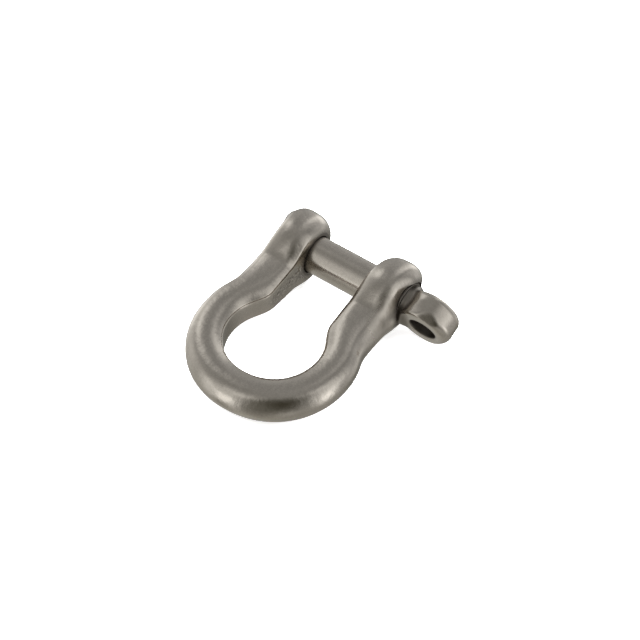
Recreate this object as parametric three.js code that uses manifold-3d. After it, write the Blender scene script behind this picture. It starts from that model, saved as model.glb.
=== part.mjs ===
// Bow shackle with a screw pin. Millimetres, +Z up, lying at rest.
// It is drawn with the pin along X (eye at +X) and the crown toward -Y, then
// leaned about X until both ears and the crown touch the ground.
import * as THREE from 'three';
import { mergeVertices } from 'three/addons/utils/BufferGeometryUtils.js';
import Module from 'manifold-3d';

const PIN_D = 8; // shank, and the thread's major diameter
const PITCH = 1.25; // M8 coarse
const JAW = 14; // gap between the two ears
const EAR_T = 8.9; // ear thickness along the pin
const EAR_R = 7.35; // ear radius about the pin
const EAR_ROUND = 3.95; // rounding of an ear's outer edge
const JAW_ROUND = 4.5; // and of its edge at the jaw, before the jaw is cut flat
const BOW_R = 10.1; // inside radius of the bow
const BOW_C = 24.1; // pin axis to the bow's centre
const BAR_W = 7.6; // bar width in the bow's plane
const BAR_H = 7.9; // bar height at the crown
const ARM_H = 8.3; // bar height beside the ears
const SHOULDER = 2.5; // rounding between jaw and bow
const FLARE_R = 9.4; // outside flare between bow and ear
const BLEND = 2.4; // smoothing where the bar runs into an ear
const FLAT = 1.2; // how far the round bar reaches past its flat inner face
const HOLE_R = 4.15; // clearance hole in the plain ear
const SEAT_R = 4.95; // round seat for the collar in the plain ear
const SEAT_D = 0.9; // its depth from the ear's outer face
const MOUTH_R = 4.7; // countersunk mouth of the threaded hole
const MOUTH_D = 1.5;
const COLLAR_R = 4.6;
const COLLAR_T = 1.0;
const COLLAR_GAP = 0.05; // running gap between collar and shank
const EYE_X = 5.35; // ear face to the eye's centre
const EYE_R = 5.76;
const EYE_T = 6.1;
const EYE_SHIFT = 0.3; // the eye's middle stands this far off the pin's axis
const EYE_HOLE_R = 3;
const EYE_ROUND = 1.3;
const EYE_TURN = 16.3; // degrees the tightened eye stands past square
const THREAD_GAP = 0.18; // radial gap between pin thread and ear thread

const J = JAW / 2;
const EAR_X = J + EAR_T; // outer face of an ear
const OUT_R = BOW_R + BAR_W; // outside radius of the bow
const SHANK_END = -(J + MOUTH_D - 0.2);
const THREAD_END = -(EAR_X - 0.3);

const { Manifold, Mesh } = await Module().then((m) => (m.setup(), m));
const clamp = THREE.MathUtils.clamp;
const smooth = THREE.MathUtils.smoothstep;

// Plain helpers: three.js geometry to a solid, and back.
function solid(geometry, matrix) {
  const g = geometry.clone();
  g.deleteAttribute('normal');
  g.deleteAttribute('uv');
  if (matrix) g.applyMatrix4(matrix);
  const m = mergeVertices(g, 1e-4);
  const mesh = new Mesh({
    numProp: 3,
    vertProperties: new Float32Array(m.attributes.position.array),
    triVerts: new Uint32Array(m.index.array),
  });
  mesh.merge();
  return new Manifold(mesh);
}

function geometryOf(shape) {
  const m = shape.getMesh();
  const g = new THREE.BufferGeometry();
  g.setAttribute('position', new THREE.BufferAttribute(m.vertProperties, 3));
  g.setIndex(new THREE.BufferAttribute(m.triVerts, 1));
  return g;
}

function smoothMin(a, b, k) {
  const h = clamp(0.5 + (0.5 * (b - a)) / k, 0, 1);
  return b * (1 - h) + a * h - k * h * (1 - h);
}

// Distance from the opening's outline into the metal: jaw strip and bow circle.
function fromOpening(x, y) {
  const strip = Math.max(x - J, -BOW_C - y);
  const circle = Math.hypot(x, y + BOW_C) - BOW_R;
  return smoothMin(strip, circle, 1.9);
}

// Distance from the outside outline into the metal: bow circle, flare, ear side.
const FLARE_X = EAR_X + FLARE_R;
const FLARE_Y = Math.sqrt((OUT_R + FLARE_R) ** 2 - FLARE_X ** 2) - BOW_C;
function fromOutside(x, y) {
  const dx = x - FLARE_X;
  const dy = y - FLARE_Y;
  if (dy > 0) return EAR_X - x;
  const beside = FLARE_X * dy - (FLARE_Y + BOW_C) * dx >= 0;
  return beside ? Math.hypot(dx, dy) - FLARE_R : OUT_R - Math.hypot(x, y + BOW_C);
}

// The bar: an oval section, fuller on the inside, where the flat is cut later.
function bar(x, y, z) {
  const inner = fromOpening(x, y);
  const outer = fromOutside(x, y);
  const w = Math.max((inner + outer) / 2, 0.3);
  const h = (BAR_H + (ARM_H - BAR_H) * smooth(y, -BOW_C, -16)) / 2;
  const u = (inner - outer) / 2 / w;
  const r = Math.hypot(u < 0 ? u / FLAT : u, z / h);
  return Math.max((r - 1) * Math.min(w, h), y - 1);
}

// An ear: a thick disc about the pin with a well rounded outer edge.
function ear(x, y, z) {
  const start = J - 0.9;
  const half = (EAR_X - start) / 2;
  const round = x > start + half ? EAR_ROUND : JAW_ROUND;
  const a = Math.abs(x - start - half) - half + round;
  const b = Math.hypot(y, z) - EAR_R + round;
  return Math.hypot(Math.max(a, 0), Math.max(b, 0)) + Math.min(Math.max(a, b), 0) - round;
}

const metal = (x, y, z) => smoothMin(bar(x, y, z), ear(x, y, z), BLEND);

// Stations along the right half: an origin in the bar and the way out of the bow.
function stations() {
  const list = [];
  const mid = (BOW_R + OUT_R) / 2;
  const from = -Math.PI / 2;
  const to = Math.min(Math.acos(J / BOW_R), Math.atan2(FLARE_Y + BOW_C, FLARE_X)) - 0.02;
  for (let i = 0; i <= 20; i++) {
    const a = from + ((to - from) * i) / 20;
    const p = new THREE.Vector2(mid * Math.cos(a), mid * Math.sin(a) - BOW_C);
    list.push([p, new THREE.Vector2(Math.cos(a), Math.sin(a))]);
  }
  const p0 = list[20][0];
  const end = new THREE.Vector2(J + EAR_T / 2, -0.55 * EAR_R);
  const reach = 0.38 * p0.distanceTo(end);
  const p1 = new THREE.Vector2(p0.x - reach * Math.sin(to), p0.y + reach * Math.cos(to));
  const p2 = new THREE.Vector2(end.x, end.y - reach);
  const curve = new THREE.CubicBezierCurve(p0, p1, p2, end);
  for (let i = 1; i <= 11; i++) {
    const t = curve.getTangent(i / 11);
    list.push([curve.getPoint(i / 11), new THREE.Vector2(t.y, -t.x)]);
  }
  const first = Math.asin(-0.55);
  for (let i = 1; i <= 11; i++) {
    const a = first + ((Math.PI / 2 - first) * 0.985 * i) / 11;
    list.push([new THREE.Vector2(end.x, EAR_R * Math.sin(a)), new THREE.Vector2(1, 0)]);
  }
  return list;
}

// Where a ray in a station's plane leaves the metal.
function edgeOf([origin, out], angle) {
  const at = (s) => new THREE.Vector3(
    origin.x + out.x * Math.cos(angle) * s,
    origin.y + out.y * Math.cos(angle) * s,
    Math.sin(angle) * s,
  );
  const value = (s) => metal(...at(s).toArray());
  let hi = 0.25;
  while (value(hi) < 0 && hi < 14) hi += 0.25;
  let lo = hi - 0.25;
  for (let i = 0; i < 14; i++) {
    const m = (lo + hi) / 2;
    if (value(m) < 0) lo = m;
    else hi = m;
  }
  return at((lo + hi) / 2);
}

// The closed bar: rings from one ear's end, round the crown, to the other's.
function barGeometry(sides) {
  const right = stations().map((s) => {
    const ring = [];
    for (let i = 0; i < sides; i++) ring.push(edgeOf(s, (2 * Math.PI * i) / sides));
    return ring;
  });
  const mirror = (ring) => ring.map((p) => new THREE.Vector3(-p.x, p.y, p.z));
  const rings = [...right.slice(1).reverse().map(mirror), ...right];
  const points = rings.flat();
  const middle = (ring) => ring.reduce((s, p) => s.add(p), new THREE.Vector3()).divideScalar(sides);
  const tips = [middle(rings[0]), middle(rings.at(-1))];
  const index = [];
  const last = (rings.length - 1) * sides;
  for (let i = 0; i < sides; i++) {
    const n = (i + 1) % sides;
    for (let k = 0; k < last; k += sides) {
      index.push(k + i, k + sides + n, k + n, k + i, k + sides + i, k + sides + n);
    }
    index.push(points.length, i, n, points.length + 1, last + n, last + i);
  }
  const g = new THREE.BufferGeometry().setFromPoints([...points, ...tips]);
  g.setIndex(index);
  return g;
}

// A solid of revolution about X from [x, radius] pairs.
function turned(profile, sides = 40) {
  const g = new THREE.LatheGeometry(profile.map(([x, r]) => new THREE.Vector2(r, x)), sides);
  g.rotateZ(-Math.PI / 2);
  return solid(g);
}

// A right-hand thread about X as one closed solid, from and to in whole pitches.
function threaded(first, last, major, minor, sides = 24, perPitch = 6) {
  const from = first * PITCH;
  const to = last * PITCH;
  const rows = (last - first) * perPitch;
  const g = new THREE.CylinderGeometry(1, 1, to - from, sides, rows);
  g.rotateZ(-Math.PI / 2);
  g.translate((from + to) / 2, 0, 0);
  const p = g.attributes.position;
  for (let i = 0; i < p.count; i++) {
    const r0 = Math.hypot(p.getY(i), p.getZ(i));
    if (r0 < 0.5) continue;
    const turn = Math.atan2(p.getZ(i), p.getY(i)) / (2 * Math.PI);
    const phase = THREE.MathUtils.euclideanModulo(p.getX(i) / PITCH - turn, 1);
    const crest = clamp((0.4375 - Math.abs(phase - 0.5)) / 0.3125, 0, 1);
    const r = minor + (major - minor) * crest;
    p.setY(i, (p.getY(i) / r0) * r);
    p.setZ(i, (p.getZ(i) / r0) * r);
  }
  return solid(g);
}

// The jaw and the inside of the bow as one prism, with rounded shoulders.
function openingSolid() {
  const y = Math.sqrt((BOW_R + SHOULDER) ** 2 - (J + SHOULDER) ** 2) - BOW_C;
  const turn = Math.atan2(y + BOW_C, J + SHOULDER);
  const shape = new THREE.Shape();
  shape.moveTo(-J, 12);
  shape.lineTo(-J, y);
  shape.absarc(-J - SHOULDER, y, SHOULDER, 0, -turn, true);
  shape.absarc(0, -BOW_C, BOW_R, Math.PI - turn, turn, false);
  shape.absarc(J + SHOULDER, y, SHOULDER, Math.PI + turn, Math.PI, true);
  shape.lineTo(J, 12);
  const g = new THREE.ExtrudeGeometry(shape, { depth: 30, bevelEnabled: false, curveSegments: 40 });
  return solid(g, new THREE.Matrix4().makeTranslation(0, 0, -15));
}

function bowSolid() {
  const round = solid(barGeometry(24));
  const major = PIN_D / 2 + THREAD_GAP;
  const minor = major - 0.68;
  const cuts = [
    turned([[0, 0], [0, HOLE_R], [EAR_X + 1, HOLE_R], [EAR_X + 1, 0]]),
    turned([[EAR_X - SEAT_D, 0], [EAR_X - SEAT_D, SEAT_R], [EAR_X + 3, SEAT_R], [EAR_X + 3, 0]]),
    turned([[-J - MOUTH_D, 0], [-J - MOUTH_D, HOLE_R], [-J, MOUTH_R], [-J + 1, MOUTH_R], [-J + 1, 0]]),
    threaded(-14, -6, major, minor),
  ];
  return cuts.reduce((s, c) => s.subtract(c), round.subtract(openingSolid()));
}

function pinSolid() {
  const r = PIN_D / 2;
  const major = r - 0.02;
  const minor = major - 0.68;
  const shank = turned([
    [SHANK_END - 0.1, 0], [SHANK_END - 0.1, minor], [SHANK_END, r],
    [EAR_X + EYE_X - EYE_R + 2, r], [EAR_X + EYE_X - EYE_R + 2, 0],
  ]);
  const thread = threaded(-13, -6, major, minor);
  const point = turned([
    [THREAD_END - 1, 0], [THREAD_END - 1, 2.6], [THREAD_END, minor - 0.05],
    [THREAD_END + 0.9, major + 0.3], [SHANK_END, major + 0.3], [SHANK_END, 0],
  ]);
  const q = EYE_ROUND;
  const rim = [[0, EYE_T / 2]];
  for (let i = 0; i <= 5; i++) {
    const a = (Math.PI / 2) * (i / 5);
    rim.push([EYE_R - q + q * Math.sin(a), EYE_T / 2 - q + q * Math.cos(a)]);
  }
  const profile = [...rim, ...rim.map(([s, y]) => [s, -y]).reverse()].reverse();
  const disc = new THREE.LatheGeometry(profile.map(([s, y]) => new THREE.Vector2(s, y)), 40);
  const hole = new THREE.CylinderGeometry(EYE_HOLE_R, EYE_HOLE_R, EYE_T + 2, 32);
  const place = new THREE.Matrix4().makeRotationX(THREE.MathUtils.degToRad(EYE_TURN));
  place.setPosition(EAR_X + EYE_X, 0, 0).multiply(new THREE.Matrix4().makeTranslation(0, -EYE_SHIFT, 0));
  const head = solid(disc, place);
  return shank.add(thread.intersect(point)).add(head).subtract(solid(hole, place));
}

function collarSolid() {
  const x0 = EAR_X - SEAT_D + 0.05;
  const x1 = x0 + COLLAR_T;
  const inner = PIN_D / 2 + COLLAR_GAP;
  const ring = turned([
    [x0, 0], [x0, COLLAR_R - 0.2], [x0 + 0.2, COLLAR_R],
    [x1 - 0.2, COLLAR_R], [x1, COLLAR_R - 0.2], [x1, 0],
  ]);
  return ring.subtract(turned([[x0 - 1, 0], [x0 - 1, inner], [x1 + 1, inner], [x1 + 1, 0]]));
}

const steel = (color, roughness) => new THREE.MeshStandardMaterial({ color, roughness, metalness: 1 });

function part(name, shape, material) {
  const mesh = new THREE.Mesh(geometryOf(shape), material);
  mesh.name = name;
  return mesh;
}

const lying = new THREE.Group();
lying.add(part('bow', bowSolid(), steel(0x8c8780, 0.38)));
lying.add(part('screw_pin', pinSolid(), steel(0x8a857d, 0.32)));
lying.add(part('pin_collar', collarSolid(), steel(0x827d76, 0.34)));

// Lean about the pin so that the ears and the crown rest on one plane.
const reach = BOW_C + BOW_R + BAR_W / 2;
lying.rotation.x = Math.asin((EAR_R - BAR_H / 2) / reach);

const shackle = new THREE.Group();
shackle.name = 'bow_shackle';
shackle.add(lying);
shackle.updateMatrixWorld(true);
const box = new THREE.Box3().setFromObject(shackle, true);
const centre = box.getCenter(new THREE.Vector3());
shackle.position.set(-centre.x, -centre.y, -box.min.z);

export default shackle;
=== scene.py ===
import math

import bpy
import numpy as np
from mathutils import Matrix, Vector, noise


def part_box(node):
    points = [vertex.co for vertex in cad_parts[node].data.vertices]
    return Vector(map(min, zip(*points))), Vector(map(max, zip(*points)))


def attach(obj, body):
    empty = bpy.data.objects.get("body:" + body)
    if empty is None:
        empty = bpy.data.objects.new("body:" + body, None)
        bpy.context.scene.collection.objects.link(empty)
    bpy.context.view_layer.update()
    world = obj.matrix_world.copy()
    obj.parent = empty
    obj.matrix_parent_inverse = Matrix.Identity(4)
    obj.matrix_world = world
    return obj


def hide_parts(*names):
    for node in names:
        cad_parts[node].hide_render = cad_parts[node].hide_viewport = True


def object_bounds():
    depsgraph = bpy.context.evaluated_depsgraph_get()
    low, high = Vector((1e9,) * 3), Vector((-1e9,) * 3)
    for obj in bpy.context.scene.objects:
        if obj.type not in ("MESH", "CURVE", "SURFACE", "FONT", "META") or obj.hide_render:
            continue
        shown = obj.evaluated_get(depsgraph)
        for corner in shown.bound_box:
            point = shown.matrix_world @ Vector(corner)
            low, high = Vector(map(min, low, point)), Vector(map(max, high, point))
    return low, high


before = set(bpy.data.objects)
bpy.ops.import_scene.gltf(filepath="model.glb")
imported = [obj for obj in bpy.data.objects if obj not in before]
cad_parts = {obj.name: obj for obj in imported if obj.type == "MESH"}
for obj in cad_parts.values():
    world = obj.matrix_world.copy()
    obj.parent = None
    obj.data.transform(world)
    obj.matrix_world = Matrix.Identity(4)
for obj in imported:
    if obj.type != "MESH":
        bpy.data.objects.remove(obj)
cad_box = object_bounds()

MM = 0.001

# The bow's own frame, in millimetres: pin along X, crown toward -Y, leaned about X.
PIN_R = 4.0
PITCH = 1.25
J = 7.0
EAR_T = 8.9
EAR_R = 7.35
EAR_ROUND = 3.95
JAW_ROUND = 4.5
BOW_R = 10.1
BOW_C = 24.1
BAR_W = 7.6
BAR_H = 7.9
ARM_H = 8.3
BAR_POWER = 2.2
SHOULDER = 1.9
FLARE_R = 9.4
BLEND = 2.4
FLAT = 1.2
HOLE_R = 4.15
SEAT_R = 4.95
SEAT_D = 0.9
MOUTH_R = 4.6
MOUTH_D = 1.5
COLLAR_R = 4.6
NECK_R = 4.25
EYE_X = 5.35
EYE_R = 5.76
EYE_T = 6.1
EYE_SHIFT = 0.3
EYE_HOLE_R = 3.0
EYE_TURN = math.radians(16.3)
EAR_X = J + EAR_T
OUT_R = BOW_R + BAR_W
MID_R = (BOW_R + OUT_R) / 2
FLARE_X = EAR_X + FLARE_R
FLARE_Y = math.sqrt((OUT_R + FLARE_R) ** 2 - FLARE_X ** 2) - BOW_C
LEAN = math.asin((EAR_R - BAR_H / 2) / (BOW_C + BOW_R + BAR_W / 2))
SHANK_END = -(J + MOUTH_D - 0.2)
PIN_TIP = -(EAR_X - 0.3)

# Relief on the top and the underside, in millimetres of height at these distances along
# the limb from the crown: two ridges, the middle between them, and a tilt across.
ALONG = (0, 10, 20, 30, 38, 44, 52)
INNER_RIDGE = (-0.14, 0.02, 0.05, 0.01, 0.36, 0.08, 0.0)
OUTER_RIDGE = (0.01, 0.08, 0.04, 0.1, 0.06, 0.23, 0.07)
MIDDLE = (0.04, -0.01, 0.0, -0.04, 0.05, 0.22, -0.14)
TILT = (0.49, 0.17, 0.08, -0.03, 0.35, 0.66, -0.19)
# Each ear's swellings, and its one hollow: height, x, y, reach along x, reach along y.
SWELLINGS = (
    (0.58, 14.3, -7.1, 1.4, 4.3),
    (0.48, 16.1, 2.3, 1.4, 2.1),
    (0.14, 12.5, -6.7, 1.1, 3.7),
    (0.56, 10.9, -5.9, 2.7, 3.0),
    (-0.46, 8.2, -0.9, 3.0, 6.0),
    (0.5, 11.4, 6.6, 4.6, 3.3),
)

bow_lo, bow_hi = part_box("bow")
collar_lo, collar_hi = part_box("pin_collar")
ORIGIN = (Vector(collar_lo) + Vector(collar_hi)) / 2
ORIGIN.x = (bow_lo[0] + bow_hi[0]) / 2
PLACE = Matrix.Translation(ORIGIN) @ Matrix.Rotation(LEAN, 4, "X") @ Matrix.Scale(MM, 4)


# ---------------------------------------------------------------- small helpers

def smoothstep(a, b, x):
    t = np.clip((x - a) / (b - a), 0, 1)
    return t * t * (3 - 2 * t)


def smooth_min(a, b, k):
    h = np.clip(0.5 + 0.5 * (b - a) / k, 0, 1)
    return b * (1 - h) + a * h - k * h * (1 - h)


def smooth_max(a, b, k):
    return -smooth_min(-a, -b, k)


def rounded_corner(a, b, r):
    """The corner between two faces, a and b outside them, rounded by r."""
    a, b = a + r, b + r
    return np.hypot(np.maximum(a, 0), np.maximum(b, 0)) + np.minimum(np.maximum(a, b), 0) - r


def curve_through(s, places, values):
    """A smooth curve through one value at each place."""
    k, v = np.array(places, float), np.array(values, float)
    slope = np.gradient(v, k)
    i = np.clip(np.searchsorted(k, s) - 1, 0, len(k) - 2)
    w = k[i + 1] - k[i]
    t = np.clip((s - k[i]) / w, 0, 1)
    ends = v[i] + (v[i + 1] - v[i]) * t * t * (3 - 2 * t)
    return ends + w * t * (1 - t) * ((1 - t) * slope[i] - t * slope[i + 1])


# Turns the noise away from the part's own axes, so that it shows no rows.
SKEW = np.array(Matrix.Rotation(0.9, 3, Vector((1, 2, 3))))


def grain(x, y, z, scale, octaves=3):
    """Even-handed noise, about -1 to 1, at each point."""
    shape = np.shape(x)
    points = np.stack([np.ravel(c) for c in (x, y, z)], -1) @ SKEW / scale
    values = [noise.fractal(Vector(p), 0.9, 2.0, octaves) for p in points]
    return np.array(values).reshape(shape)


def grid_faces(rows, cols):
    a = np.arange(rows * cols).reshape(rows, cols)
    b = np.roll(a, -1, axis=1)
    quads = np.stack([a[:-1], b[:-1], b[1:], a[1:]], axis=-1).reshape(-1, 4)
    return [tuple(int(i) for i in q) for q in quads]


def finish_normals(obj, angle):
    mesh = obj.data
    mesh.polygons.foreach_set("use_smooth", [True] * len(mesh.polygons))
    mesh.set_sharp_from_angle(angle=math.radians(angle))
    mesh.update()


def mesh_object(name, points, faces, smooth_angle=35):
    mesh = bpy.data.meshes.new(name)
    mesh.from_pydata([tuple(p) for p in points], [], faces)
    mesh.transform(PLACE)
    mesh.validate()
    obj = bpy.data.objects.new(name, mesh)
    bpy.context.scene.collection.objects.link(obj)
    finish_normals(obj, smooth_angle)
    return obj


def turned(profile, sides):
    """Rings about X from [x, radius] pairs."""
    t = np.linspace(0, 2 * np.pi, sides, endpoint=False)
    p = np.array(profile, float)
    x = np.repeat(p[:, :1], sides, axis=1)
    return np.stack([x, p[:, 1:] * np.cos(t), p[:, 1:] * np.sin(t)], axis=-1)


def capped_tube(rings):
    """A closed skin over rings of points, with a fan at each end."""
    n, m, _ = rings.shape
    points = np.concatenate([rings.reshape(-1, 3), [rings[0].mean(0)], [rings[-1].mean(0)]])
    faces = grid_faces(n, m)
    last = (n - 1) * m
    for i in range(m):
        k = (i + 1) % m
        faces.append((n * m, k, i))
        faces.append((n * m + 1, last + i, last + k))
    return points, faces


def joined(parts):
    points, faces, offset = [], [], 0
    for p, f in parts:
        points.append(p)
        faces += [tuple(i + offset for i in face) for face in f]
        offset += len(p)
    return np.concatenate(points), faces


def rounded(profile, radius, steps=6):
    """Rounds each inner corner of a polyline with a small arc."""
    pts = [np.array(p, float) for p in profile]
    out = [pts[0]]
    for a, b, c in zip(pts, pts[1:], pts[2:]):
        u, v = a - b, c - b
        r = min(radius, np.linalg.norm(u) * 0.45, np.linalg.norm(v) * 0.45)
        u, v = u / np.linalg.norm(u) * r, v / np.linalg.norm(v) * r
        for s in np.linspace(0, 1, steps):
            out.append(b + u * (1 - s) ** 2 + v * s ** 2)
    out.append(pts[-1])
    return out


def cast(value, steps=56, reach=14.0):
    """Along each ray, the first distance at which value turns positive."""
    lo = hi = found = None
    for s in np.linspace(reach / steps, reach, steps):
        f = value(s)
        if lo is None:
            lo, hi, found = np.zeros_like(f), np.full_like(f, reach), np.zeros(f.shape, bool)
        new = (f > 0) & ~found
        hi[new], lo[new] = s, s - reach / steps
        found |= new
    for _ in range(16):
        mid = (lo + hi) / 2
        inside = value(mid) < 0
        lo, hi = np.where(inside, mid, lo), np.where(inside, hi, mid)
    return (lo + hi) / 2


def cut(obj, points, faces):
    tool = mesh_object("cutter", points, faces)
    mod = obj.modifiers.new("cut", "BOOLEAN")
    mod.operation, mod.object, mod.solver = "DIFFERENCE", tool, "EXACT"
    done = bpy.data.meshes.new_from_object(obj.evaluated_get(bpy.context.evaluated_depsgraph_get()))
    obj.modifiers.clear()
    obj.data = done
    bpy.data.objects.remove(tool)


# ---------------------------------------------------------------- the bow

def from_opening(x, y):
    strip = np.maximum(x - J, -BOW_C - y)
    circle = np.hypot(x, y + BOW_C) - BOW_R
    return smooth_min(strip, circle, SHOULDER)


def from_outside(x, y):
    dx, dy = x - FLARE_X, y - FLARE_Y
    beside = FLARE_X * dy - (FLARE_Y + BOW_C) * dx >= 0
    low = np.where(beside, np.hypot(dx, dy) - FLARE_R, OUT_R - np.hypot(x, y + BOW_C))
    return np.where(dy > 0, EAR_X - x, low)


def across(x, y):
    """Half the bar's width here, and the place across it: -1 inside, +1 outside."""
    inner, outer = from_opening(x, y), from_outside(x, y)
    w = np.maximum((inner + outer) / 2, 0.3)
    return w, (inner - outer) / 2 / w


def bar(x, y, z):
    w, u = across(x, y)
    h = (BAR_H + (ARM_H - BAR_H) * smoothstep(-BOW_C, -16, y)) / 2
    u = np.where(u < 0, u / FLAT, u)
    r = (np.abs(u) ** BAR_POWER + np.abs(z / h) ** BAR_POWER) ** (1 / BAR_POWER)
    return np.maximum((r - 1) * np.minimum(w, h), y - 1)


def ear(x, y, z):
    start = J - 0.9
    half = (EAR_X - start) / 2
    r = np.where(x > start + half, EAR_ROUND, JAW_ROUND)
    return rounded_corner(np.abs(x - start - half) - half, np.hypot(y, z) - EAR_R, r)


def relief(x, y, z):
    """How much metal forging added here: ridges, a valley between, swellings on the ears."""
    round_part = np.arctan2(np.abs(x), -(y + BOW_C)) * MID_R
    s = np.where(y < -BOW_C, round_part, MID_R * math.pi / 2 + y + BOW_C)
    _, u = across(x, y)
    up = curve_through(s, ALONG, INNER_RIDGE) * np.exp(-((u + 0.71) / 0.34) ** 2)
    up += curve_through(s, ALONG, OUTER_RIDGE) * np.exp(-((u - 0.57) / 0.23) ** 2)
    up += curve_through(s, ALONG, MIDDLE) * np.exp(-((u - 0.1) / 0.5) ** 2)
    up -= curve_through(s, ALONG, TILT) * u
    for height, hx, hy, rx, ry in SWELLINGS:
        up += height * np.exp(-((x - hx) / rx) ** 2 - ((y - hy) / ry) ** 2)
    return up * smoothstep(0, 2.5, np.abs(z))


def metal(x, y, z):
    body = smooth_min(bar(x, y, z), ear(x, y, z), BLEND) - relief(x, y, z)
    edge = 0.35 + 0.9 * smoothstep(-8, 3, y)
    return smooth_max(body, -from_opening(x, y), edge)


def inner_face(x, y, z):
    """1 on the flat inner face, fading out before its edges."""
    body = smooth_min(bar(x, y, z), ear(x, y, z), BLEND)
    return np.exp(-(from_opening(x, y) / 0.35) ** 2) * smoothstep(-0.15, -0.8, body)


def cast_marks(side, x, y, z):
    """The inner faces keep the rough skin of the casting, most of all on the far arm."""
    along = smoothstep(-17, -13, y) * smoothstep(-2.0, -5.5, y)
    depth = inner_face(x, y, z) * (0.02 + (0.17 if side < 0 else 0.08) * along)
    rough = np.zeros(x.shape)
    on = depth > 0.004
    rough[on] = grain(side * x[on], y[on], z[on], 0.45, 2)
    return depth * rough + 0.01 * grain(side * x, y, z, 3.0, 2)


def stations():
    last = min(math.acos(J / BOW_R), math.atan2(FLARE_Y + BOW_C, FLARE_X)) - 0.02
    a = np.linspace(-math.pi / 2, last, 150)
    at = np.stack([MID_R * np.cos(a), MID_R * np.sin(a) - BOW_C], -1)
    out = np.stack([np.cos(a), np.sin(a)], -1)
    p0, p3 = at[-1], np.array([J + EAR_T / 2, -0.55 * EAR_R])
    reach = 0.38 * np.linalg.norm(p3 - p0)
    p1 = p0 + reach * np.array([-math.sin(last), math.cos(last)])
    p2 = p3 - np.array([0, reach])
    s = np.linspace(0, 1, 111)[1:, None]
    curve = (1 - s) ** 3 * p0 + 3 * (1 - s) ** 2 * s * p1 + 3 * (1 - s) * s * s * p2 + s ** 3 * p3
    d = 3 * (1 - s) ** 2 * (p1 - p0) + 6 * (1 - s) * s * (p2 - p1) + 3 * s * s * (p3 - p2)
    d /= np.linalg.norm(d, axis=1)[:, None]
    start = math.asin(-0.55)
    e = start + (np.pi / 2 - start) * np.linspace(0, 0.994, 86)[1:]
    end = np.stack([np.full_like(e, p3[0]), EAR_R * np.sin(e)], -1)
    at = np.concatenate([at, curve, end])
    out = np.concatenate([out, np.stack([d[:, 1], -d[:, 0]], -1), np.tile([1.0, 0.0], (len(e), 1))])
    return at, out


def half_bow(side):
    at, out = stations()
    ox, oy, nx, ny = (c[:, None] for c in (at[:, 0], at[:, 1], out[:, 0], out[:, 1]))

    def point(s, t):
        return ox + nx * np.cos(t) * s, oy + ny * np.cos(t) * s, np.sin(t) * s + 0 * ox

    # Where the flat inner face meets the round body, so that both get their share of points.
    probe = np.tile(np.linspace(0.55 * np.pi, np.pi, 60), (len(at), 1))
    flat = cast(lambda s: -from_opening(*point(s, probe)[:2]))
    body = cast(lambda s: smooth_min(bar(*point(s, probe)), ear(*point(s, probe)), BLEND))
    turn = np.array([p[np.argmax(f < b)] if (f < b).any() else np.nan
                     for p, f, b in zip(probe, flat, body)])
    good = ~np.isnan(turn)
    turn = np.interp(np.arange(len(turn)), np.nonzero(good)[0], turn[good])
    turn = np.convolve(np.pad(turn, 3, "edge"), np.ones(7) / 7, "valid")[:, None]
    q = np.linspace(-1, 1, 101)[None, :]
    over = turn * (q + 0.13 * np.sin(np.pi * q))
    r = np.linspace(-1, 1, 41)[None, 1:-1]
    inner = np.pi + (np.pi - turn) * (r + 0.16 * np.sin(np.pi * r))
    angle = np.concatenate([over, inner], axis=1)
    dist = cast(lambda s: metal(*point(s, angle)))
    dist = dist + cast_marks(side, *point(dist, angle))
    x, y, z = point(dist, angle)
    return np.stack([x * side, y, z], -1)


def thread_radius(x, t, major, minor):
    """A right-hand thread's radius at a place along the pin and an angle about it."""
    phase = (x / PITCH - t / (2 * np.pi)) % 1
    crest = np.clip((0.4375 - np.abs(phase - 0.5)) / 0.3125, 0, 1)
    return minor + (major - minor) * (smoothstep(0, 1, crest) * 0.35 + crest * 0.65)


def threaded_hole():
    """The cutter for the far ear: the thread, then its countersunk mouth."""
    x = np.linspace(-EAR_X - 1.3, -J - MOUTH_D, 170)[:, None]
    t = np.linspace(0, 2 * np.pi, 96, endpoint=False)[None, :]
    r = thread_radius(x, t, 4.15, 3.5)
    thread = np.stack([x + 0 * t, r * np.cos(t), r * np.sin(t)], -1)
    mouth = [[-J - MOUTH_D + 0.05, HOLE_R], [-J - 0.5, HOLE_R], [-J - 0.12, HOLE_R + 0.06],
             [-J + 0.02, HOLE_R + 0.2], [-J + 1, HOLE_R + 0.7]]
    return np.concatenate([thread, turned(mouth, 96)])


def make_bow():
    right, left = half_bow(1), half_bow(-1)
    rings = np.concatenate([left[1:][::-1], right])[:, ::-1]
    bow = mesh_object("bow_fine", *capped_tube(rings))
    seat = [[J - 1, MOUTH_R + 0.3], [J + 0.05, HOLE_R + 0.35], [J + 0.5, HOLE_R],
            [EAR_X - SEAT_D, HOLE_R], [EAR_X - SEAT_D, SEAT_R],
            [EAR_X - 0.15, SEAT_R], [EAR_X + 0.1, SEAT_R + 0.12], [EAR_X + 1.3, SEAT_R + 0.7]]
    cut(bow, *joined([capped_tube(turned(seat, 128)), capped_tube(threaded_hole())]))
    finish_normals(bow, 50)
    return bow


# ---------------------------------------------------------------- the pin

def eye_frame(x, y, z):
    """From the bow's frame to the eye's own: x along the pin, y across its flat face."""
    c, s = math.cos(EYE_TURN), math.sin(EYE_TURN)
    return x - EAR_X - EYE_X, y * c + z * s + EYE_SHIFT, z * c - y * s


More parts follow.
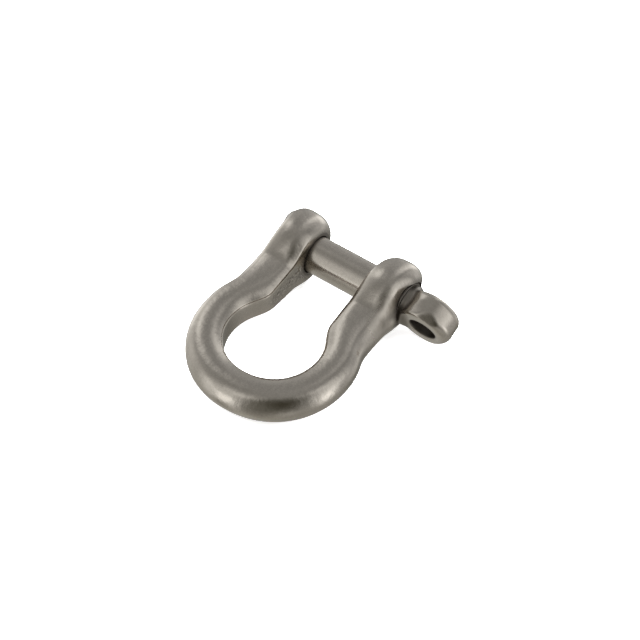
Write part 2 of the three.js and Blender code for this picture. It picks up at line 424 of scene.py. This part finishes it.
def head_value(x, y, z):
    """The eye, a thick disc softest at its tip, running into the round neck."""
    x, y, z = eye_frame(x, y, z)
    s = np.hypot(x, z)
    c = x / np.maximum(s, 0.01)
    tip = smoothstep(0.2, 1.0, c)
    edge = np.where(y < 0, 0.75 + 0.2 * c + 0.95 * tip, 1.34 + 0.5 * tip)
    disc = rounded_corner(np.abs(y) - EYE_T / 2, s - EYE_R, edge)
    r = np.where(x < -EYE_X - 0.18, PIN_R, NECK_R)
    neck = rounded_corner(x + EYE_R - 1.6, np.hypot(y - EYE_SHIFT, z) - r, 0.7)
    f = smooth_min(disc, neck, 1.0)
    f = f - 0.19 * np.exp(-((x + 1.6) ** 2 + (y - 0.6) ** 2 + (z - 5.5) ** 2) / 1.3)
    struck = 0.28 * x - 0.423 * y + 0.862 * z - 5.85
    return smooth_max(f, struck, 0.3)


def pin_rings(sides=192):
    t = EYE_TURN + np.linspace(0, 2 * np.pi, sides, endpoint=False)[None, :]
    x = np.linspace(PIN_TIP, SHANK_END, 120)[:, None]
    r = thread_radius(x, t, PIN_R - 0.02, PIN_R - 0.7)
    r = np.minimum(r, 2.85 + 1.6 * (x - PIN_TIP))
    r = np.where(x > SHANK_END - 0.25, np.minimum(r, PIN_R - 0.7), r)
    thread = np.stack([x + 0 * t, r * np.cos(t), r * np.sin(t)], -1)
    step = [[SHANK_END + 0.02, PIN_R - 0.55], [SHANK_END + 0.3, PIN_R - 0.2],
            [SHANK_END + 0.5, PIN_R - 0.05], [SHANK_END + 0.8, PIN_R]]
    fine = np.linspace(0, 2 * np.pi, sides, endpoint=False)
    shoulder = np.array([[[a, b * math.cos(c + EYE_TURN), b * math.sin(c + EYE_TURN)] for c in fine]
                         for a, b in step])
    middle = EAR_X + EYE_X
    shank = np.append(np.linspace(SHANK_END + 1.3, EAR_X - 0.5, 40), EAR_X - 0.19)
    neck = np.append(EAR_X - 0.17, np.linspace(EAR_X - 0.1, middle - 0.72 * EYE_R, 32))
    swing = np.linspace(math.asin(-0.7), math.radians(89.6), 110)
    x = np.concatenate([shank, neck, middle + EYE_R * np.sin(swing)])[:, None]
    even = np.tile(t, (len(x), 1))
    r = cast(lambda s: head_value(x, s * np.cos(even), s * np.sin(even)), 40, 8.0)
    walk = np.hypot(np.roll(r, -1, 1) - r, r * 2 * np.pi / sides)
    walk = np.concatenate([np.zeros((len(x), 1)), np.cumsum(walk, 1)], 1)
    ends = np.concatenate([even, even[:, :1] + 2 * np.pi], 1)
    share = np.linspace(0, 1, sides, endpoint=False)
    turn = np.array([np.interp(share * w[-1], w, a) for w, a in zip(walk, ends)])
    turn = 0.75 * turn + 0.25 * even
    r = cast(lambda s: head_value(x, s * np.cos(turn), s * np.sin(turn)), 40, 8.0)
    body = np.stack([x + 0 * turn, r * np.cos(turn), r * np.sin(turn)], -1)
    return np.concatenate([thread, shoulder, body])


def eye_bore():
    """The cutter for the eye's hole, with a small soft lip at each face."""
    lip = 0.35
    a = np.linspace(0, 1, 8)
    y = EYE_T / 2 - lip + lip * a
    r = EYE_HOLE_R + lip * (1 - np.sqrt(1 - a ** 2))
    half = list(zip(y, r)) + [(EYE_T / 2 + 1.5, EYE_HOLE_R + lip)]
    profile = [(-p, q) for p, q in reversed(half)] + half
    rings = turned(profile, 96)[..., [1, 0, 2]][:, ::-1]
    x, y, z = rings[..., 0], rings[..., 1] - EYE_SHIFT, rings[..., 2]
    c, s = math.cos(EYE_TURN), math.sin(EYE_TURN)
    return np.stack([x + EAR_X + EYE_X, y * c - z * s, y * s + z * c], -1)


def make_pin():
    pin = mesh_object("pin_fine", *capped_tube(pin_rings()))
    cut(pin, *capped_tube(eye_bore()))
    finish_normals(pin, 40)
    return pin


def make_collar():
    x0 = EAR_X - SEAT_D + 0.06
    x1 = EAR_X - 0.2
    profile = rounded([[x0, PIN_R + 0.3], [x0, COLLAR_R], [x1, COLLAR_R], [x1, PIN_R + 0.3]], 0.22)
    profile += [np.array([x1, PIN_R + 0.04]), np.array([x0, PIN_R + 0.04])]
    rings = turned(profile, 128)
    faces = grid_faces(*rings.shape[:2])
    n, m, _ = rings.shape
    last = (n - 1) * m
    faces += [(last + i, last + (i + 1) % m, (i + 1) % m, i) for i in range(m)]
    return mesh_object("collar_fine", rings.reshape(-1, 3), faces, smooth_angle=40)


# ---------------------------------------------------------------- steel

# Painted shade, partly grime: this dark colour is mixed in by a mask on the mesh, mostly as painted
# shade in holes, seats and crevices.
SHADE_AND_GRIME_COLOR = (0.085, 0.075, 0.065, 1)
SHADE_AND_GRIME_COVER = 0.85
SHADE_AND_GRIME_ROUGHNESS = 0.25
DULL_ROUGHNESS = 0.22


def paint(obj, name, value):
    """Stores value(x, y, z), taken in the bow's frame, on every point of a mesh."""
    mesh = obj.data
    co = np.empty(len(mesh.vertices) * 3)
    mesh.vertices.foreach_get("co", co)
    back = np.array(PLACE.inverted())
    p = co.reshape(-1, 3) @ back[:3, :3].T + back[:3, 3]
    layer = mesh.attributes.new(name, "FLOAT", "POINT")
    layer.data.foreach_set("value", np.clip(value(*p.T), 0, 1))


def bow_shade_and_grime(x, y, z):
    """Painted shade inside both holes, round the mouth on each jaw face and in the seat; on the
    inner faces, dark cast skin in patches together with painted shade.
    """
    ax, rho = np.abs(x), np.hypot(y, z)
    arm = smoothstep(-17, -12, y)
    rough = smoothstep(0.5, -0.5, grain(x, y, z, 0.45, 2))
    patch = 0.55 + 0.45 * smoothstep(-0.3, 0.3, grain(x, y, z, 2.6, 1))
    # Inner faces: partly the dark cast skin, partly painted shade across the face and in its pits.
    shade_and_grime = inner_face(ax, y, z) * (0.12 + 0.7 * arm * patch * rough)
    # Painted shade inside both holes, in a ring round each jaw-face mouth and in the seat round the
    # collar.
    hole_shade = smoothstep(5.3, 4.7, rho) * (ax > J - 0.3)
    jaw_mouth_shade = np.exp(-((ax - J) / 0.8) ** 2) * smoothstep(6.6, 4.6, rho)
    seat_shade = smoothstep(EAR_X - 1.2, EAR_X - 0.2, x) * smoothstep(6.4, 5.0, rho)
    return np.maximum.reduce([shade_and_grime, 0.9 * hole_shade, 0.6 * jaw_mouth_shade, 0.75 * seat_shade])


def bow_dullness(x, y, z):
    """The outer flare below the pin's collar, where the steel is duller."""
    below_collar = smoothstep(-14, -10, y) * smoothstep(-2.5, -5, y)
    return smoothstep(12.3, 14.5, x) * below_collar * smoothstep(-5, -1, z)


# Painted shade on the pin: inside the eye's bore, round the neck beside the collar, in the thread's
# roots and where the pin enters the far ear.
def pin_painted_shade(x, y, z):
    rho = np.hypot(y, z)
    u, _, w = eye_frame(x, y, z)
    bore = smoothstep(EYE_HOLE_R + 0.3, EYE_HOLE_R + 0.02, np.hypot(u, w)) * (x > EAR_X + 1)
    neck = smoothstep(EAR_X - 0.8, EAR_X, x) * smoothstep(EAR_X + 3.4, EAR_X + 1.0, x)
    neck = neck * smoothstep(5.6, 4.2, rho)
    root = smoothstep(PIN_R - 0.1, PIN_R - 0.6, rho) * (x < SHANK_END)
    entry = np.maximum(smoothstep(-J + 0.9, -J - 0.2, x) * (x > SHANK_END), 0)
    return np.maximum.reduce([0.9 * bore, 0.7 * neck, 0.6 * root, 0.6 * entry])


# Painted shade over the whole collar, deeper towards its bore.
def collar_painted_shade(x, y, z):
    return 0.45 + 0.3 * smoothstep(4.5, 4.2, np.hypot(y, z))


def node(tree, kind, **values):
    n = tree.nodes.new(kind)
    for key, value in values.items():
        if key in n.inputs:
            n.inputs[key].default_value = value
        else:
            setattr(n, key, value)
    return n


def mapped(tree, source, low, high):
    n = node(tree, "ShaderNodeMapRange", **{"To Min": low, "To Max": high})
    tree.links.new(source, n.inputs["Value"])
    return n.outputs["Result"]


def math_node(tree, operation, a, b, c=0.0):
    n = node(tree, "ShaderNodeMath", operation=operation)
    for socket, value in zip(n.inputs, (a, b, c)):
        if isinstance(value, (int, float)):
            socket.default_value = value
        else:
            tree.links.new(value, socket)
    return n.outputs["Value"]


def steel(name, tint, rough, wave, grit):
    """Tumbled stainless steel, in millimetres of the bow's frame; painted shade, with some grime,
    comes from the mesh.
    """
    m = bpy.data.materials.new(name)
    m.use_nodes = True
    t = m.node_tree
    link = t.links.new
    shader = t.nodes["Principled BSDF"]
    shader.inputs["Metallic"].default_value = 1.0
    place = node(t, "ShaderNodeTexCoord")
    local = node(t, "ShaderNodeMapping", vector_type="TEXTURE", Location=ORIGIN,
                 Rotation=(LEAN, 0, 0), Scale=(MM, MM, MM))
    link(place.outputs["Object"], local.inputs["Vector"])
    cloud = node(t, "ShaderNodeTexNoise", Scale=0.28, Detail=3.0, Roughness=0.55)
    mottle = node(t, "ShaderNodeTexNoise", Scale=2.2, Detail=3.0, Roughness=0.65)
    speck = node(t, "ShaderNodeTexNoise", Scale=7.0, Detail=2.0, Roughness=0.6)
    soft = node(t, "ShaderNodeTexNoise", Scale=0.75, Detail=2.0, Roughness=0.45)
    for n in (cloud, mottle, speck, soft):
        link(local.outputs["Vector"], n.inputs["Vector"])
    # The mask read here darkens the steel toward the dark colour: mostly painted shade, partly dark
    # cast skin on the bow's inner faces.
    shade_and_grime = node(t, "ShaderNodeAttribute", attribute_name="shade_and_grime").outputs["Fac"]
    light = math_node(t, "MULTIPLY", mapped(t, cloud.outputs["Fac"], 0.90, 1.08),
                      mapped(t, mottle.outputs["Fac"], 0.86, 1.10))
    light = math_node(t, "MULTIPLY", light, mapped(t, speck.outputs["Fac"], 0.92, 1.06))
    color = node(t, "ShaderNodeVectorMath", operation="SCALE")
    color.inputs[0].default_value = tint
    link(light, color.inputs["Scale"])
    mixed = node(t, "ShaderNodeMix", data_type="RGBA")
    link(math_node(t, "MULTIPLY", shade_and_grime, SHADE_AND_GRIME_COVER), mixed.inputs[0])
    link(color.outputs["Vector"], mixed.inputs[6])
    mixed.inputs[7].default_value = SHADE_AND_GRIME_COLOR
    link(mixed.outputs[2], shader.inputs["Base Color"])
    gloss = math_node(t, "ADD", mapped(t, mottle.outputs["Fac"], rough - 0.06, rough + 0.06),
                      math_node(t, "MULTIPLY", shade_and_grime, SHADE_AND_GRIME_ROUGHNESS))
    dull = node(t, "ShaderNodeAttribute", attribute_name="dull").outputs["Fac"]
    gloss = math_node(t, "MULTIPLY_ADD", dull, DULL_ROUGHNESS, gloss)
    link(gloss, shader.inputs["Roughness"])
    waves = node(t, "ShaderNodeBump", Strength=1.0, Distance=wave * MM)
    grits = node(t, "ShaderNodeBump", Strength=1.0, Distance=grit * MM)
    link(soft.outputs["Fac"], waves.inputs["Height"])
    link(mottle.outputs["Fac"], grits.inputs["Height"])
    link(waves.outputs["Normal"], grits.inputs["Normal"])
    link(grits.outputs["Normal"], shader.inputs["Normal"])
    return m


# ---------------------------------------------------------------- stage and light

# Soft boxes around the bow, and flags that hold light back: azimuth from +Y toward +X,
# elevation, half width, half height, strength.
SOFT_BOXES = (
    (-159, 2, 0.15, 0.13, 0.42),
    (-165, 0, 0.20, 0.74, 0.28),
    (-141, 7, 0.27, 0.52, 0.33),
    (-95, 3, 0.45, 0.69, 0.28),
    (-64, 38, 0.16, 0.30, 0.31),
    (-67, -13, 0.20, 0.47, 0.45),
    (-37, 11, 0.44, 0.72, 0.19),
    (-4, 21, 0.20, 0.61, 0.36),
    (-2, -10, 0.27, 0.30, 0.45),
    (25, 13, 0.31, 0.55, 0.22),
    (75, 48, 0.29, 0.43, 0.25),
    (85, -12, 0.16, 0.31, 0.41),
    (78, 3, 0.47, 0.53, 0.45),
    (130, -26, 0.22, 0.32, 0.08),
    (-161, 51, 0.20, 0.30, 0.18),
    (34, -22, 0.34, 0.33, 0.16),
    (131, 22, 0.51, 0.72, -0.08),
    (71, -12, 0.20, 0.27, -0.17),
    (2, -52, 0.51, 0.17, -0.08),
    (-158, -23, 0.19, 0.47, -0.17),
    (-93, 12, 0.10, 0.16, -0.02),
)
# The room's own glow: from below, and from the crown's side.
ROOM_DOWN = 0.116
ROOM_CROWN = 0.108
# The share of its light that the steel gives back; the strengths above are the steel's own.
METAL_SHARE = 0.52
ROOM_TINT = (1.0, 0.985, 0.90)
BOX_TINT = (1.0, 1.01, 1.01)


def make_world():
    world = bpy.data.worlds.new("studio")
    bpy.context.scene.world = world
    world.use_nodes = True
    t = world.node_tree
    link = t.links.new
    t.nodes.clear()
    out = node(t, "ShaderNodeOutputWorld")
    back = node(t, "ShaderNodeBackground", Strength=1.0 / METAL_SHARE)
    link(back.outputs["Background"], out.inputs["Surface"])
    where = node(t, "ShaderNodeTexCoord").outputs["Generated"]
    lean = Matrix.Rotation(LEAN, 3, "X")

    def dot(v):
        d = node(t, "ShaderNodeVectorMath", operation="DOT_PRODUCT")
        d.inputs[1].default_value = lean @ v
        link(where, d.inputs[0])
        return d.outputs["Value"]

    def clamped(value):
        n = node(t, "ShaderNodeClamp")
        link(value, n.inputs["Value"])
        return n.outputs["Result"]

    boxes = 0.0
    for az, el, wide, high, power in SOFT_BOXES:
        a, e = math.radians(az), math.radians(el)
        c = Vector((math.sin(a) * math.cos(e), math.cos(a) * math.cos(e), math.sin(e)))
        u = Vector((math.cos(a), -math.sin(a), 0))
        d1, d2 = dot(u / wide), dot(c.cross(u) / high)
        q = math_node(t, "MULTIPLY_ADD", d2, d2, math_node(t, "MULTIPLY", d1, d1))
        glow = math_node(t, "MULTIPLY", math_node(t, "POWER", math.exp(-1), q), clamped(dot(c * 4)))
        boxes = math_node(t, "MULTIPLY_ADD", glow, power, boxes)
    down = clamped(dot(Vector((0, 0, -1))))
    room = math_node(t, "MULTIPLY_ADD", down, ROOM_DOWN, ROOM_CROWN / 2)
    room = math_node(t, "ADD", room, dot(Vector((0, -ROOM_CROWN, 0)) / 2))
    total = None
    for value, tint in ((room, ROOM_TINT), (boxes, BOX_TINT)):
        s = node(t, "ShaderNodeVectorMath", operation="MULTIPLY_ADD")
        s.inputs[1].default_value = tint
        link(value, s.inputs[0])
        if total:
            link(total, s.inputs[2])
        total = s.outputs["Vector"]
    link(total, back.inputs["Color"])


def make_floor():
    mesh = bpy.data.meshes.new("floor")
    s = 3.0
    mesh.from_pydata([(-s, -s, 0), (s, -s, 0), (s, s, 0), (-s, s, 0)], [], [(0, 1, 2, 3)])
    floor = bpy.data.objects.new("floor", mesh)
    bpy.context.scene.collection.objects.link(floor)
    floor.location.z = cad_box[0][2] - 0.0001
    m = bpy.data.materials.new("floor_white")
    m.use_nodes = True
    b = m.node_tree.nodes["Principled BSDF"]
    b.inputs["Base Color"].default_value = (0.9, 0.9, 0.9, 1)
    b.inputs["Roughness"].default_value = 0.9
    b.inputs["Specular IOR Level"].default_value = 0.0
    b.inputs["Emission Color"].default_value = (1, 1, 1, 1)
    b.inputs["Emission Strength"].default_value = 0.75
    mesh.materials.append(m)
    floor.visible_glossy = False


def area(name, place, size, power):
    lamp = bpy.data.lights.new(name, "AREA")
    lamp.size, lamp.energy = size, power
    obj = bpy.data.objects.new(name, lamp)
    bpy.context.scene.collection.objects.link(obj)
    obj.location = place
    obj.rotation_euler = (Vector((0, 0, 0)) - Vector(place)).to_track_quat("-Z", "Y").to_euler()
    obj.visible_glossy = False


def make_camera():
    az, el, roll = (math.radians(v) for v in (36.12, 51.51, -0.76))
    back = Vector((math.sin(az) * math.cos(el), -math.cos(az) * math.cos(el), math.sin(el)))
    right = Vector((math.cos(az), math.sin(az), 0))
    up = back.cross(right)
    r = right * math.cos(roll) + up * math.sin(roll)
    u = up * math.cos(roll) - right * math.sin(roll)
    turn = Matrix((r, u, back)).transposed().to_4x4()
    target = Vector((3.59, -13.54, 0))
    data = bpy.data.cameras.new("camera")
    data.sensor_width = 36.0
    data.lens = 118.4
    data.clip_start, data.clip_end = 0.01, 20
    cam = bpy.data.objects.new("camera", data)
    bpy.context.scene.collection.objects.link(cam)
    lean = Matrix.Rotation(LEAN, 4, "X")
    place = PLACE @ (target + back * 421.3)
    cam.matrix_world = Matrix.Translation(place) @ lean @ turn
    bpy.context.scene.camera = cam


make_camera()
make_world()
make_floor()
area("key", (-0.25, -0.1, 0.9), 0.9, 40)
area("fill", (0.5, 0.4, 0.8), 0.9, 25)
bpy.context.scene.view_settings.view_transform = "Standard"

# Each finish: name, tint, roughness, depth of the soft waves and of the fine grit in mm.
BOW_SATIN = ("bow_satin", (0.64, 0.589, 0.525), 0.17, 0.05, 0.009)
PIN_SATIN = ("pin_satin", (0.64, 0.589, 0.525), 0.23, 0.02, 0.006)
# The collar's darker tint is painted shade: a shaded copy of the pin's steel.
COLLAR_SHADED_SATIN = ("collar_shaded_satin", (0.40, 0.365, 0.325), 0.30, 0.02, 0.004)

for piece, body, replaced, slot, shade_and_grime, finish in (
    (make_bow(), "bow", "bow", "bow_steel", bow_shade_and_grime, BOW_SATIN),
    (make_pin(), "pin", "screw_pin", "pin_steel", pin_painted_shade, PIN_SATIN),
    (make_collar(), "collar", "pin_collar", "pin_steel", collar_painted_shade, COLLAR_SHADED_SATIN),
):
    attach(piece, body)
    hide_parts(replaced)
    paint(piece, "shade_and_grime", shade_and_grime)
    if replaced == "bow":
        paint(piece, "dull", bow_dullness)
    piece.data.materials.clear()
    piece.data.materials.append(steel(*finish))
